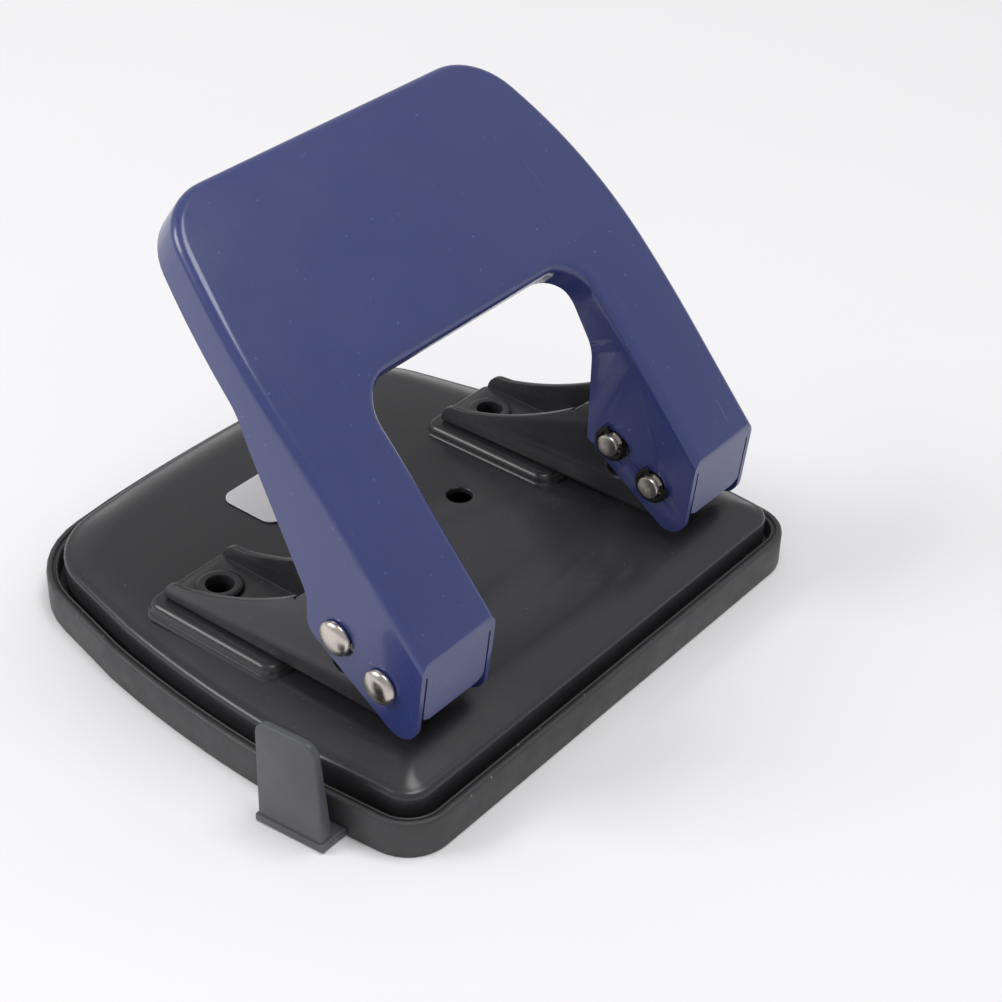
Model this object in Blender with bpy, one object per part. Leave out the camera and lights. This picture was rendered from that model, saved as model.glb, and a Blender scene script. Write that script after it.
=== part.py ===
"""Two-hole desk punch with a folding steel handle, two punch units, a base plate and a chip tray.

Metres, +Z up. The paper enters from -Y, X runs along the row of holes, and the origin is on the
table, in the middle of the width, straight below the line where the paper's edge stops.
"""
import math

import bmesh
import bpy
from mathutils import Matrix, Vector

MM = 0.001

# Holes and throat
HOLE_SPACING = 80 * MM
HOLE_DIAMETER = 6 * MM
HOLE_MARGIN = 15 * MM
THROAT = 2.2 * MM
GAP = 0.3 * MM

# Chip tray
TRAY_SIDE_REACH = 21.8 * MM
TRAY_FRONT = 41.5 * MM
TRAY_BACK = 71.8 * MM
TRAY_HEIGHT = 7.8 * MM
TRAY_WALL = 2.2 * MM
TRAY_FLOOR = 1.4 * MM
TRAY_LEDGE = 2.4 * MM
TRAY_LEDGE_TOP = 3.7 * MM
TRAY_LIP = 1 * MM
SIDE_BULGE_RADIUS = 250 * MM
SIDE_WIDEST_Y = -8 * MM
BACK_BULGE_RADIUS = 400 * MM
FRONT_CORNER_RADIUS = 9 * MM
BACK_CORNER_RADIUS = 22 * MM

# Base plate
PLATE_TOP = 14 * MM
PLATE_SHEET = 1.2 * MM
PLATE_GROOVE = 1.5 * MM
PLATE_EDGE_TOP = 11.2 * MM
SHOULDER_WIDTH = 9 * MM
EDGE_ROLL = 1.3 * MM
PAD_HALF_WIDTH = 11 * MM
PAD_LENGTH = 32.5 * MM
PAD_ROUND = 1.6 * MM
PAD_CORNER_RADIUS = 3 * MM
PAD_SKIRT = 2.2 * MM
FIXING_HOLE_X = 16 * MM
FIXING_HOLE_Y = 11.7 * MM
FIXING_HOLE_RADIUS = 2.6 * MM

# Die rings
DIE_OUTER_RADIUS = 5 * MM
DIE_CLEARANCE = 0.15 * MM
DIE_HEIGHT = 2.5 * MM

# Brackets
BRACKET_HALF_WIDTH = 8.3 * MM
BRACKET_SHEET = 1.2 * MM
BRACKET_REAR = 29.8 * MM
BRACKET_TIP_HEIGHT = 4.4 * MM
BRACKET_TIP_RADIUS = 3.6 * MM
BRACKET_TOP = 20.3 * MM
BRACKET_REST_KINK = 16.9 * MM
BRACKET_NOSE_RADIUS = 5.4 * MM
BRACKET_KINK_BEHIND = 11.6 * MM
BRACKET_SAG = 1.6 * MM
BRACKET_TOP_RADIUS = 4 * MM

# Handle
HANDLE_SHEET = 1.1 * MM
HANDLE_BEND = 2 * MM
FOLD_AHEAD = 9.4 * MM
FOLD_RISE = 18.5 * MM
FOLD_RADIUS = 2.2 * MM
LEG_ANGLE = math.radians(48.7)
GRIP_ANGLE = math.radians(35.3)
LEG_STRAIGHT = 22 * MM
GRIP_BEND_RADIUS = 257 * MM
HANDLE_LENGTH = 90 * MM
GRIP_CORNER_RADIUS = 13.4 * MM
SIDE_TAPER_START = 42.8 * MM
SIDE_TAPER_END = 80 * MM
SIDE_TAPER_RADIUS = 136 * MM
CUTOUT_END = 45.3 * MM
CUTOUT_RADIUS = 8 * MM
RIM_DEPTH = 8 * MM
LIP_DEPTH = 6.5 * MM
FLAP_LENGTH = 13.9 * MM
FLAP_LEAN = 0.1
HEEL_BEHIND = 6.9 * MM
HEEL_RISE = 4 * MM
FOOT_SLOPE = math.tan(math.radians(34))
FOOT_RADIUS = 4 * MM

# Pins, clips, punches and springs
PIVOT_Y_BEHIND = 10 * MM
PIVOT_RISE = 9.6 * MM
DRIVE_RISE = 15 * MM
PIN_RADIUS = 2.3 * MM
PIN_HEAD_RADIUS = 3.4 * MM
PIN_HEAD_HEIGHT = 1.6 * MM
PIN_END = 1.3 * MM
GROOVE_DEPTH = 0.5 * MM
CLIP_THICKNESS = 0.7 * MM
CLIP_OUTER_RADIUS = 4.4 * MM
HANDLE_SWING = math.radians(34)
PUNCH_HEAD_RADIUS = 4.5 * MM
PUNCH_SHOULDER_DROP = 3.0 * MM
PUNCH_HEAD_RISE = 3.4 * MM
SPRING_WIRE = 0.8 * MM
SPRING_CLEARANCE = 0.55 * MM
SPRING_TURNS = 4.5

# Eyelets and label
EYELET_RADIUS = 3.1 * MM
EYELET_WALL = 0.5 * MM
EYELET_FLANGE = 1.4 * MM
EYELET_REAR_Y = 23.4 * MM
EYELET_FRONT_Y = 7.5 * MM
LABEL_HALF_LENGTH = 16.5 * MM
LABEL_HALF_WIDTH = 7.3 * MM
LABEL_Y = 39.7 * MM
LABEL_THICKNESS = 0.3 * MM

# Paper gauge
GAUGE_WIDTH = 14.8 * MM
GAUGE_BAR_THICKNESS = 1.6 * MM
GAUGE_BAR_LENGTH = 118 * MM
GAUGE_TAB_HEIGHT = 22.9 * MM
GAUGE_TAB_THICKNESS = 2.8 * MM
GAUGE_TAB_TOP = 1.5 * MM
GAUGE_TAB_TAPER = 1.3 * MM
GAUGE_TAB_GAP = 2.9 * MM
GAUGE_FOOT = 0.4 * MM
GAUGE_Y = -19.2 * MM
GAUGE_LIFT = 0.2 * MM

# Worked out from the sizes above
HALF_SPACING = HOLE_SPACING / 2
TRAY_WIDTH = HOLE_SPACING + 2 * TRAY_SIDE_REACH
PUNCH_Y = -HOLE_MARGIN
PIVOT_Y = PUNCH_Y - PIVOT_Y_BEHIND
BRACKET_BOTTOM = PLATE_TOP + THROAT
PIVOT_Z = BRACKET_BOTTOM + PIVOT_RISE
DRIVE_Z = BRACKET_BOTTOM + DRIVE_RISE
FOLD_Y = PIVOT_Y - FOLD_AHEAD
FOLD_Z = BRACKET_BOTTOM + FOLD_RISE
LEG_HALF_WIDTH = BRACKET_HALF_WIDTH + GAP + HANDLE_SHEET
PUNCH_RADIUS = HOLE_DIAMETER / 2
HOLE_FIT = PIN_RADIUS + GAP
DRIVE_REACH = math.hypot(PIVOT_Y_BEHIND, DRIVE_Z - PIVOT_Z)
DRIVE_ANGLE = math.atan2(DRIVE_Z - PIVOT_Z, PIVOT_Y_BEHIND)
PUNCH_TRAVEL = PIVOT_Y_BEHIND * (math.tan(DRIVE_ANGLE) - math.tan(DRIVE_ANGLE - HANDLE_SWING))
CIRCLE_SIDES = 24
SMALLEST_EDGE = 0.02 * MM
ALL = 500 * MM


# ---------------------------------------------------------------- outlines
def circle(radius, sides=CIRCLE_SIDES):
    turns = [2 * math.pi * i / sides for i in range(sides)]
    return [(radius * math.cos(a), radius * math.sin(a)) for a in turns]


def rounded(corners, steps=5):
    """Closed outline through (u, v) or (u, v, radius) corners, each radius replaced by an arc."""
    points = []
    for i, corner in enumerate(corners):
        here = Vector(corner[:2])
        radius = corner[2] if len(corner) > 2 else 0
        if radius == 0:
            points.append(tuple(here))
            continue
        back = (Vector(corners[i - 1][:2]) - here).normalized()
        ahead = (Vector(corners[(i + 1) % len(corners)][:2]) - here).normalized()
        half = back.angle(ahead) / 2
        centre = here + (back + ahead).normalized() * (radius / math.sin(half))
        start = here + back * (radius / math.tan(half)) - centre
        end = here + ahead * (radius / math.tan(half)) - centre
        sweep = start.angle_signed(end)
        first = math.atan2(start.y, start.x)
        for k in range(steps + 1):
            turn = first - sweep * k / steps
            points.append((centre.x + radius * math.cos(turn), centre.y + radius * math.sin(turn)))
    return points


def inset(points, distance):
    """Anticlockwise outline moved inwards by a distance, its corners kept."""
    moved = []
    for i, here in enumerate(points):
        here = Vector(here)
        before = (here - Vector(points[i - 1])).normalized()
        after = (Vector(points[(i + 1) % len(points)]) - here).normalized()
        middle = Vector((-before.y - after.y, before.x + after.x)).normalized()
        stretch = max(0.3, middle.dot(Vector((-before.y, before.x))))
        moved.append(tuple(here + middle * (distance / stretch)))
    return moved


# ---------------------------------------------------------------- solids
def make_object(name, bm):
    bmesh.ops.remove_doubles(bm, verts=bm.verts, dist=1e-7)
    bmesh.ops.triangulate(bm, faces=bm.faces)
    bmesh.ops.recalc_face_normals(bm, faces=bm.faces)
    mesh = bpy.data.meshes.new(name)
    bm.to_mesh(mesh)
    bm.free()
    item = bpy.data.objects.new(name, mesh)
    bpy.context.collection.objects.link(item)
    return item


def loft(loops):
    """Closed solid through loops of equally many points, with a cap on the first and the last."""
    bm = bmesh.new()
    rings = [[bm.verts.new(point) for point in loop] for loop in loops]
    for low, high in zip(rings, rings[1:]):
        for i in range(len(low)):
            bm.faces.new((low[i - 1], low[i], high[i], high[i - 1]))
    bm.faces.new(rings[0])
    bm.faces.new(rings[-1])
    return bm


def along(axis, u, v, w):
    """Point at w along the axis and (u, v) across it: (y, z) for X, (x, z) for Y, (x, y) for Z."""
    return {"X": (w, u, v), "Y": (u, w, v), "Z": (u, v, w)}[axis]


def prism(name, outline, axis, low, high):
    """Closed outline pushed along an axis from low to high."""
    loops = [[along(axis, u, v, w) for u, v in outline] for w in (low, high)]
    return make_object(name, loft(loops))


def rod(name, radius, axis, centre, low, high):
    outline = [(u + centre[0], v + centre[1]) for u, v in circle(radius)]
    return prism(name, outline, axis, low, high)


def turned(name, profile, axis, centre, sides=CIRCLE_SIDES):
    """Solid of revolution about an axis line; profile points are (radius, place along the axis)."""
    loops = []
    for radius, w in profile:
        loops.append([along(axis, centre[0] + u, centre[1] + v, w) for u, v in circle(radius, sides)])
    return make_object(name, loft(loops))


def boolean(target, operation, *tools):
    for tool in tools:
        modifier = target.modifiers.new(operation.title(), "BOOLEAN")
        modifier.operation = operation
        modifier.object = tool
        bpy.context.view_layer.objects.active = target
        bpy.ops.object.modifier_apply(modifier=modifier.name)
        bpy.data.objects.remove(tool)
    return target


def cut(target, *tools):
    return boolean(target, "DIFFERENCE", *tools)


def add(target, *tools):
    return boolean(target, "UNION", *tools)


def finish(item, material, joint_point=(0, 0, 0)):
    """Gives a piece its material, smooth round faces and, if it moves, an origin on its joint."""
    bm = bmesh.new()
    bm.from_mesh(item.data)
    bmesh.ops.remove_doubles(bm, verts=bm.verts, dist=SMALLEST_EDGE)
    bm.to_mesh(item.data)
    bm.free()
    item.data.materials.clear()
    item.data.materials.append(material)
    item.data.shade_smooth()
    item.data.set_sharp_from_angle(angle=math.radians(35))
    item.data.transform(Matrix.Translation(-Vector(joint_point)))
    item.location = joint_point
    return item


def make_material(name, colour, roughness, metallic=0.0):
    material = bpy.data.materials.new(name)
    material.use_nodes = True
    shader = material.node_tree.nodes["Principled BSDF"]
    shader.inputs["Base Color"].default_value = (*colour, 1)
    shader.inputs["Roughness"].default_value = roughness
    shader.inputs["Metallic"].default_value = metallic
    return material


# ---------------------------------------------------------------- tray and base plate
def half_width(y, distance):
    return TRAY_WIDTH / 2 - distance - (y - SIDE_WIDEST_Y) ** 2 / (2 * SIDE_BULGE_RADIUS)


def back_edge(x, distance):
    return TRAY_BACK - distance - x ** 2 / (2 * BACK_BULGE_RADIUS)


def base_outline(distance):
    """Plan of the tray's outside moved inwards, anticlockwise from the front left corner."""
    front = -TRAY_FRONT + distance
    back = back_edge(0, distance)
    for _ in range(6):
        back = back_edge(half_width(back, distance), distance)
    side = []
    for k in range(1, 8):
        y = front + (back - front) * (0.14 + 0.62 * k / 8)
        side.append((half_width(y, distance), y))
    rear = []
    for k in range(-3, 4):
        x = -k * half_width(back, distance) * 0.16
        rear.append((x, back_edge(x, distance)))
    front_radius = max(FRONT_CORNER_RADIUS - distance, 2 * MM)
    back_radius = max(BACK_CORNER_RADIUS - distance, 2 * MM)
    front_x = half_width(front, distance)
    corners = [(-front_x, front, front_radius), (front_x, front, front_radius)]
    corners += side
    corners += [(half_width(back, distance), back, back_radius)]
    corners += rear
    corners += [(-half_width(back, distance), back, back_radius)]
    corners += [(-x, y) for x, y in reversed(side)]
    return rounded(corners)


def base_loop(distance, z):
    return [(x, y, z) for x, y in base_outline(distance)]


def gauge_span(margin):
    return GAUGE_Y - GAUGE_WIDTH / 2 - margin, GAUGE_Y + GAUGE_WIDTH / 2 + margin


def box(name, x, y, z):
    return prism(name, [(x[0], y[0]), (x[1], y[0]), (x[1], y[1]), (x[0], y[1])], "Z", z[0], z[1])


def chip_tray(material):
    outer = loft([base_loop(0, 0), base_loop(0, TRAY_HEIGHT - TRAY_LIP),
                  base_loop(0.3 * TRAY_LIP, TRAY_HEIGHT - 0.3 * TRAY_LIP), base_loop(TRAY_LIP, TRAY_HEIGHT)])
    tray = make_object("chip_tray", outer)
    well = TRAY_WALL + TRAY_LEDGE
    cut(tray, prism("rim", base_outline(TRAY_WALL), "Z", TRAY_LEDGE_TOP, ALL))
    cut(tray, prism("well", base_outline(well), "Z", TRAY_FLOOR, ALL))
    channel_top = GAUGE_LIFT + GAUGE_BAR_THICKNESS + GAP
    duct_front, duct_back = gauge_span(GAP + TRAY_FLOOR)
    reach = half_width(GAUGE_Y, TRAY_WALL + TRAY_LEDGE / 3)
    duct_height = (TRAY_FLOOR / 2, channel_top + TRAY_FLOOR)
    add(tray, box("duct", (-reach, reach), (duct_front, duct_back), duct_height))
    cut(tray, box("channel", (-ALL, reach - TRAY_WALL), gauge_span(GAP), (-ALL, channel_top)))
    return finish(tray, material)


def base_plate(material):
    edge = TRAY_WALL + PLATE_GROOVE
    skirt_bottom = TRAY_LEDGE_TOP + GAP
    profile = []
    for k in range(4):
        turn = math.pi / 2 * k / 3
        distance = edge + EDGE_ROLL * (1 - math.cos(turn))
        profile.append((distance, PLATE_EDGE_TOP - EDGE_ROLL * (1 - math.sin(turn))))
    for k in range(1, 6):
        share = k / 5
        climb = (PLATE_TOP - PLATE_EDGE_TOP) * math.sin(share * math.pi / 2)
        profile.append((edge + EDGE_ROLL + SHOULDER_WIDTH * share, PLATE_EDGE_TOP + climb))
    under = [(distance + PLATE_SHEET * (k < 4), z - PLATE_SHEET) for k, (distance, z) in enumerate(profile)]
    under[0] = (edge + PLATE_SHEET, skirt_bottom)
    loops = [base_loop(distance, z) for distance, z in reversed(under)]
    loops += [base_loop(edge, skirt_bottom)]
    loops += [base_loop(distance, z) for distance, z in profile]
    plate = make_object("base_plate", loft(loops))
    for side in (-1, 1):
        middle = side * HALF_SPACING
        add(plate, pad("pad", middle, 0))
        cut(plate, pad("pad_under", middle, PLATE_SHEET))
        cut(plate, rod("die_hole", PUNCH_RADIUS + DIE_CLEARANCE, "Z", (middle, PUNCH_Y), -ALL, ALL))
        cut(plate, rod("fixing", FIXING_HOLE_RADIUS, "Z", (side * FIXING_HOLE_X, FIXING_HOLE_Y), -ALL, ALL))
        for y in (EYELET_REAR_Y, EYELET_FRONT_Y):
            cut(plate, rod("eyelet_hole", EYELET_RADIUS + GAP, "Z", (middle, y), -ALL, ALL))
    return finish(plate, material)


def pad(name, middle, sheet):
    """Embossed seat under a bracket; with a sheet thickness, the hollow below it."""
    def loop(distance, z):
        x = PAD_HALF_WIDTH - sheet - distance
        y = (sheet + distance, PAD_LENGTH - sheet - distance)
        radius = PAD_CORNER_RADIUS - distance / 2
        outline = rounded([(-x, y[0], radius), (x, y[0], radius), (x, y[1], radius), (-x, y[1], radius)], 3)
        return [(middle + u, v, z) for u, v in outline]
    top = BRACKET_BOTTOM - sheet
    low = PLATE_TOP - PAD_SKIRT - sheet
    near_top = loop(0.3 * PAD_ROUND, top - 0.3 * PAD_ROUND)
    return make_object(name, loft([loop(0, low), loop(0, top - PAD_ROUND), near_top, loop(PAD_ROUND, top)]))


def die(name, middle, material):
    top = PLATE_TOP - PLATE_SHEET - GAP
    ring = rod(name, DIE_OUTER_RADIUS, "Z", (middle, PUNCH_Y), top - DIE_HEIGHT, top)
    cut(ring, rod("bore", PUNCH_RADIUS + DIE_CLEARANCE, "Z", (middle, PUNCH_Y), -ALL, ALL))
    return finish(ring, material)


# ---------------------------------------------------------------- brackets and their eyelets
def bracket_profile():
    bottom = BRACKET_BOTTOM
    nose = PIVOT_Y - BRACKET_NOSE_RADIUS
    kink = (PUNCH_Y + BRACKET_KINK_BEHIND, bottom + BRACKET_REST_KINK)
    tip = (BRACKET_REAR - BRACKET_TIP_RADIUS, bottom + BRACKET_TIP_HEIGHT)
    curve = []
    for k in range(1, 7):
        share = k / 7
        y = kink[0] + (tip[0] - kink[0]) * share
        z = kink[1] + (tip[1] - kink[1]) * share - BRACKET_SAG * 4 * share * (1 - share)
        curve.append((y, z))
    corners = [(nose + 2 * MM, bottom), (BRACKET_REAR, bottom)]
    corners += [(BRACKET_REAR, bottom + BRACKET_TIP_HEIGHT, BRACKET_TIP_RADIUS)]
    corners += reversed(curve)
    corners += [kink, (kink[0] - BRACKET_TOP_RADIUS, bottom + BRACKET_TOP, BRACKET_TOP_RADIUS)]
    corners += [(PUNCH_Y - 4.5 * MM, bottom + BRACKET_TOP, BRACKET_TOP_RADIUS)]
    corners += [(nose, PIVOT_Z + BRACKET_NOSE_RADIUS, BRACKET_NOSE_RADIUS - GAP), (nose, PIVOT_Z - 4 * MM)]
    return rounded(corners, 4)


def bracket(name, middle, material):
    """Folded channel: floor and two walls cut from one solid, with the pin holes through the walls."""
    low, high = middle - BRACKET_HALF_WIDTH, middle + BRACKET_HALF_WIDTH
    channel = prism(name, bracket_profile(), "X", low, high)
    inside = BRACKET_HALF_WIDTH - BRACKET_SHEET
    floor = BRACKET_BOTTOM + BRACKET_SHEET
    cut(channel, box("inside", (middle - inside, middle + inside), (-ALL, ALL), (floor, ALL)))
    cut(channel, rod("pivot", HOLE_FIT, "X", (PIVOT_Y, PIVOT_Z), -ALL, ALL))
    slot_low, slot_high = DRIVE_Z - PUNCH_TRAVEL, DRIVE_Z
    cut(channel, prism("slot", slot(slot_low, slot_high), "X", -ALL, ALL))
    cut(channel, rod("guide", PUNCH_RADIUS + DIE_CLEARANCE, "Z", (middle, PUNCH_Y), -ALL, ALL))
    for y in (EYELET_REAR_Y, EYELET_FRONT_Y):
        cut(channel, rod("eyelet_hole", EYELET_RADIUS + GAP, "Z", (middle, y), -ALL, floor + GAP))
    return finish(channel, material)


def slot(low, high):
    """Upright round-ended slot that the drive pin slides in."""
    points = []
    for k in range(11):
        turn = math.pi * k / 10
        points.append((PUNCH_Y + HOLE_FIT * math.cos(turn), high + HOLE_FIT * math.sin(turn)))
    for k in range(11):
        turn = math.pi + math.pi * k / 10
        points.append((PUNCH_Y + HOLE_FIT * math.cos(turn), low + HOLE_FIT * math.sin(turn)))
    return points


def eyelet(name, middle, y, material):
    """Hollow rivet that holds the bracket's floor on the pad, flanged on both sides."""
    floor = BRACKET_BOTTOM + BRACKET_SHEET + GAP
    under = BRACKET_BOTTOM - PLATE_SHEET - GAP
    flange = EYELET_RADIUS + EYELET_FLANGE
    profile = [(flange, under - EYELET_WALL), (flange, under), (EYELET_RADIUS, under), (EYELET_RADIUS, floor),
               (flange, floor), (flange - 0.2 * MM, floor + EYELET_WALL)]
    body = turned(name, profile, "Z", (middle, y))
    cut(body, rod("bore", EYELET_RADIUS - EYELET_WALL, "Z", (middle, y), -ALL, ALL))
    return finish(body, material)


# ---------------------------------------------------------------- handle
def spine(s):
    """Place (y, z) and slope of the handle's top skin at a distance s up from the fold."""
    straight = min(s, LEG_STRAIGHT)
    y = FOLD_Y + straight * math.cos(LEG_ANGLE)
    z = FOLD_Z + straight * math.sin(LEG_ANGLE)
    if s <= LEG_STRAIGHT:
        return y, z, LEG_ANGLE
    arc_end = (LEG_ANGLE - GRIP_ANGLE) * GRIP_BEND_RADIUS
    on_arc = min(s - LEG_STRAIGHT, arc_end)
    slope = LEG_ANGLE - on_arc / GRIP_BEND_RADIUS
    y += GRIP_BEND_RADIUS * (math.sin(LEG_ANGLE) - math.sin(slope))
    z += GRIP_BEND_RADIUS * (math.cos(slope) - math.cos(LEG_ANGLE))
    past = s - LEG_STRAIGHT - on_arc
    return y + past * math.cos(slope), z + past * math.sin(slope), slope


def skin_point(s, depth):
    y, z, slope = spine(s)
    return y + depth * math.sin(slope), z - depth * math.cos(slope)


def handle_outline():
    """Plan of the pressed sheet, laid flat: x across, s along, open between the legs."""
    outer = HALF_SPACING + LEG_HALF_WIDTH
    inner = HALF_SPACING - LEG_HALF_WIDTH
    foot = -40 * MM
    lean = math.asin((SIDE_TAPER_END - SIDE_TAPER_START) / SIDE_TAPER_RADIUS)
    right = [(outer, foot)]
    for k in range(5):
        turn = lean * k / 4
        x = outer - SIDE_TAPER_RADIUS * (1 - math.cos(turn))
        right.append((x, SIDE_TAPER_START + SIDE_TAPER_RADIUS * math.sin(turn)))
    corner_x = right[-1][0] - (HANDLE_LENGTH - SIDE_TAPER_END) * math.tan(lean)
    right.append((corner_x, HANDLE_LENGTH, GRIP_CORNER_RADIUS))
    left = [(-corner[0],) + corner[1:] for corner in reversed(right)]
    cutout = [(-inner, foot), (-inner, CUTOUT_END, CUTOUT_RADIUS)]
    cutout += [(inner, CUTOUT_END, CUTOUT_RADIUS), (inner, foot)]
    return rounded(right + left + cutout, 6)


def handle_block(name, sheet):
    """Full-depth block under the skin with rolled top edges; sheet moves it inwards all round."""
    outline = handle_outline()
    roll = HANDLE_BEND - sheet
    depth = 32 * MM
    steps = [(sheet, depth)]
    for k in range(5):
        turn = math.pi / 2 * k / 4
        steps.append((sheet + roll * (1 - math.cos(turn)), sheet + roll * (1 - math.sin(turn))))
    loops = []
    for distance, down in steps:
        loops.append([(x, s, -down) for x, s in inset(outline, distance)])
    bm = loft(loops)
    s = LEG_STRAIGHT
    while s < HANDLE_LENGTH:
        geometry = bm.verts[:] + bm.edges[:] + bm.faces[:]
        bmesh.ops.bisect_plane(bm, geom=geometry, plane_co=(0, s, 0), plane_no=(0, 1, 0), dist=1e-6)
        s += 6 * MM
    for vertex in bm.verts:
        x, s, down = vertex.co
        y, z = skin_point(s, -down)
        vertex.co = (x, y, z)
    return make_object(name, bm)


def front_line(z):
    return FOLD_Y + FLAP_LEAN * (FOLD_Z - z)


def handle_side():
    """Side view that the block is trimmed to: fold, flap, foot below the pivot, edge of the flanges."""
    heel_y = PUNCH_Y + HEEL_BEHIND
    heel_z = PIVOT_Z + HEEL_RISE
    toe_z = heel_z - FOOT_SLOPE * (heel_y - front_line(heel_z - 16 * MM))
    above_leg = skin_point(LEG_STRAIGHT, -1.5 * MM)
    corners = [above_leg, (FOLD_Y, FOLD_Z, FOLD_RADIUS), (front_line(toe_z), toe_z, FOOT_RADIUS)]
    corners += [(heel_y, heel_z, FOOT_RADIUS), (heel_y, heel_z + 7.2 * MM, 8 * MM)]
    s = LEG_STRAIGHT + 31 * MM
    corners.append((*skin_point(s, RIM_DEPTH), 12 * MM))
    while s < HANDLE_LENGTH + 8 * MM:
        s += 5 * MM
        corners.append(skin_point(s, RIM_DEPTH))
    corners.append(skin_point(s, -20 * MM))
    corners.append(skin_point(LEG_STRAIGHT + 10 * MM, -20 * MM))
    return rounded(corners)


def inner_edge_cut():
    """Side view of what is trimmed off the flanges and the lip around the finger opening."""
    heel_y = PUNCH_Y + HEEL_BEHIND - 2 * GAP
    bend = CUTOUT_END - 4 * MM
    corners = [(heel_y, 0), (heel_y, PIVOT_Z + 24 * MM, 9 * MM), (*skin_point(bend, LIP_DEPTH), 5 * MM)]
    for k in range(1, 5):
        corners.append(skin_point(bend + 6 * MM * k, LIP_DEPTH))
    corners.append((ALL / 4, ALL / 5))
    corners.append((ALL / 4, 0))
    return rounded(corners)


def handle(material):
    side_block = prism("side", handle_side(), "X", -ALL / 5, ALL / 5)
    shell = boolean(handle_block("handle", 0), "INTERSECT", side_block)
    hollow = handle_block("hollow", HANDLE_SHEET)
    front = [(front_line(-ALL) + HANDLE_SHEET, -ALL), (ALL, -ALL)]
    front += [(ALL, ALL), (front_line(ALL) + HANDLE_SHEET, ALL)]
    boolean(hollow, "INTERSECT", prism("front", front, "X", -ALL / 4, ALL / 4))
    cut(shell, hollow)
    reach = HALF_SPACING - LEG_HALF_WIDTH + HANDLE_SHEET + GAP
    cut(shell, prism("inner_edge", inner_edge_cut(), "X", -reach, reach))
    flap_bottom = FOLD_Z - FLAP_LENGTH
    for side in (-1, 1):
        middle = side * HALF_SPACING
        gap = LEG_HALF_WIDTH - HANDLE_SHEET
        flap_y = (FOLD_Y - 5 * MM, PIVOT_Y - 5 * MM)
        cut(shell, box("flap_end", (middle - gap, middle + gap), flap_y, (0, flap_bottom)))
    cut(shell, rod("pivot", HOLE_FIT, "X", (PIVOT_Y, PIVOT_Z), -ALL / 5, ALL / 5))
    cut(shell, prism("slot", handle_slot(), "X", -ALL / 5, ALL / 5))
    return finish(shell, material, (0, PIVOT_Y, PIVOT_Z))


def handle_slot():
    """Slot along the line from the pivot to the drive pin, as the pin comes nearer on its way down."""
    near, far = PIVOT_Y_BEHIND, DRIVE_REACH
    points = []
    for centre, first in ((far, -math.pi / 2), (near, math.pi / 2)):
        for k in range(11):
            turn = first + math.pi * k / 10
            along_slot = centre + HOLE_FIT * math.cos(turn)
            across = HOLE_FIT * math.sin(turn)
            y = PIVOT_Y + along_slot * math.cos(DRIVE_ANGLE) - across * math.sin(DRIVE_ANGLE)
            z = PIVOT_Z + along_slot * math.sin(DRIVE_ANGLE) + across * math.cos(DRIVE_ANGLE)
            points.append((y, z))
    return points


# ---------------------------------------------------------------- pins, clips, punches, springs
def cross_pin(name, side, y, z, material, joint_point=(0, 0, 0)):
    """Pin through one leg: domed head on the outside, groove and plain end on the inside."""
    face = LEG_HALF_WIDTH + GAP
    neck = PIN_RADIUS - GROOVE_DEPTH
    groove_end = -face - CLIP_THICKNESS - GAP
    tip = -face - CLIP_THICKNESS - PIN_END
    profile = [(0.55 * PIN_HEAD_RADIUS, face + PIN_HEAD_HEIGHT)]
    profile += [(0.86 * PIN_HEAD_RADIUS, face + 0.72 * PIN_HEAD_HEIGHT)]
    profile += [(PIN_HEAD_RADIUS, face + 0.3 * PIN_HEAD_HEIGHT), (PIN_HEAD_RADIUS, face)]
    profile += [(PIN_RADIUS, face), (PIN_RADIUS, -face), (neck, -face), (neck, groove_end)]
    profile += [(PIN_RADIUS, groove_end), (PIN_RADIUS, tip + GAP), (PIN_RADIUS - GAP, tip)]
    placed = [(radius, side * (HALF_SPACING + w)) for radius, w in profile]
    return finish(turned(name, placed, "X", (y, z)), material, joint_point)


def clip(name, side, y, z, material, joint_point=(0, 0, 0)):
    """E-shaped retaining clip pushed into the pin's groove, its mouth turned up and back."""
    bore = PIN_RADIUS - GROOVE_DEPTH + GAP / 3
    mouth = math.radians(50)
    facing = math.radians(125)
    points = []
    arc = 2 * math.pi - 2 * mouth
    for k in range(25):
        turn = facing + mouth + arc * k / 24
        points.append((y + CLIP_OUTER_RADIUS * math.cos(turn), z + CLIP_OUTER_RADIUS * math.sin(turn)))
    for k in range(24, -1, -1):
        turn = facing + mouth + arc * k / 24
        lobe = bore if k % 8 in (0, 1, 7) else bore + 0.9 * MM
        points.append((y + lobe * math.cos(turn), z + lobe * math.sin(turn)))
    start = HALF_SPACING - LEG_HALF_WIDTH - GAP * 1.5
    ends = sorted((side * start, side * (start - CLIP_THICKNESS)))
    return finish(prism(name, points, "X", *ends), material, joint_point)


def punch(name, middle, material, joint_point):
    """Cutting rod with a wider head that the drive pin crosses; its lower end is ground hollow."""
    tip = BRACKET_BOTTOM + 0.2 * MM
    shoulder = DRIVE_Z - PUNCH_SHOULDER_DROP
    top = DRIVE_Z + PUNCH_HEAD_RISE
    profile = [(PUNCH_RADIUS * 0.3, tip + 1.2 * MM), (PUNCH_RADIUS, tip), (PUNCH_RADIUS, shoulder),
               (PUNCH_HEAD_RADIUS, shoulder), (PUNCH_HEAD_RADIUS, top - 0.6 * MM)]
    profile.append((PUNCH_HEAD_RADIUS - 0.6 * MM, top))
    body = turned(name, profile, "Z", (middle, PUNCH_Y))
    cut(body, rod("cross_hole", HOLE_FIT, "X", (PUNCH_Y, DRIVE_Z), -ALL, ALL))
    return finish(body, material, joint_point)


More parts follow.
